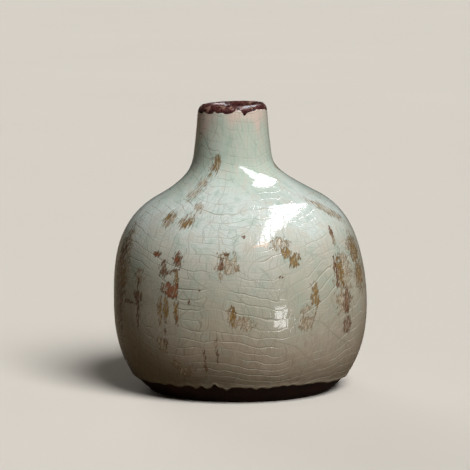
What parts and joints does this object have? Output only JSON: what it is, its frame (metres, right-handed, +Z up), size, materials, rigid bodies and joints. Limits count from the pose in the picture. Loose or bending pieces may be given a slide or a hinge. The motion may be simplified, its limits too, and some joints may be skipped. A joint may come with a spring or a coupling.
{
  "type": "bud vase",
  "caption": "Round-bodied stoneware bud vase with a short narrow neck, a dark ragged lip, pale crackle glaze and a bare turned foot.",
  "frame": {"origin": "middle of the foot ring, on the surface that the vase stands on", "axes": "+Z up along the body; the pictured side faces -Y, with the neck drifted towards -X"},
  "size_m": [0.102, 0.102, 0.1147],
  "materials": {
    "bare_stoneware": "fired stoneware, unglazed, matt and slightly gritty",
    "celadon_crackle_glaze": "glossy pale blue-green celadon, crackled, with rust stains",
    "iron_lip_wash": "iron-brown glaze, thin and lumpy, half glossy",
    "liner_glaze": "thin pinkish-beige liner glaze, satin"
  },
  "bodies": {
    "root": {"clay_body": "bare_stoneware", "celadon_glaze": "celadon_crackle_glaze", "lip_glaze": "iron_lip_wash", "liner_glaze": "liner_glaze"}
  },
  "joints": []
}
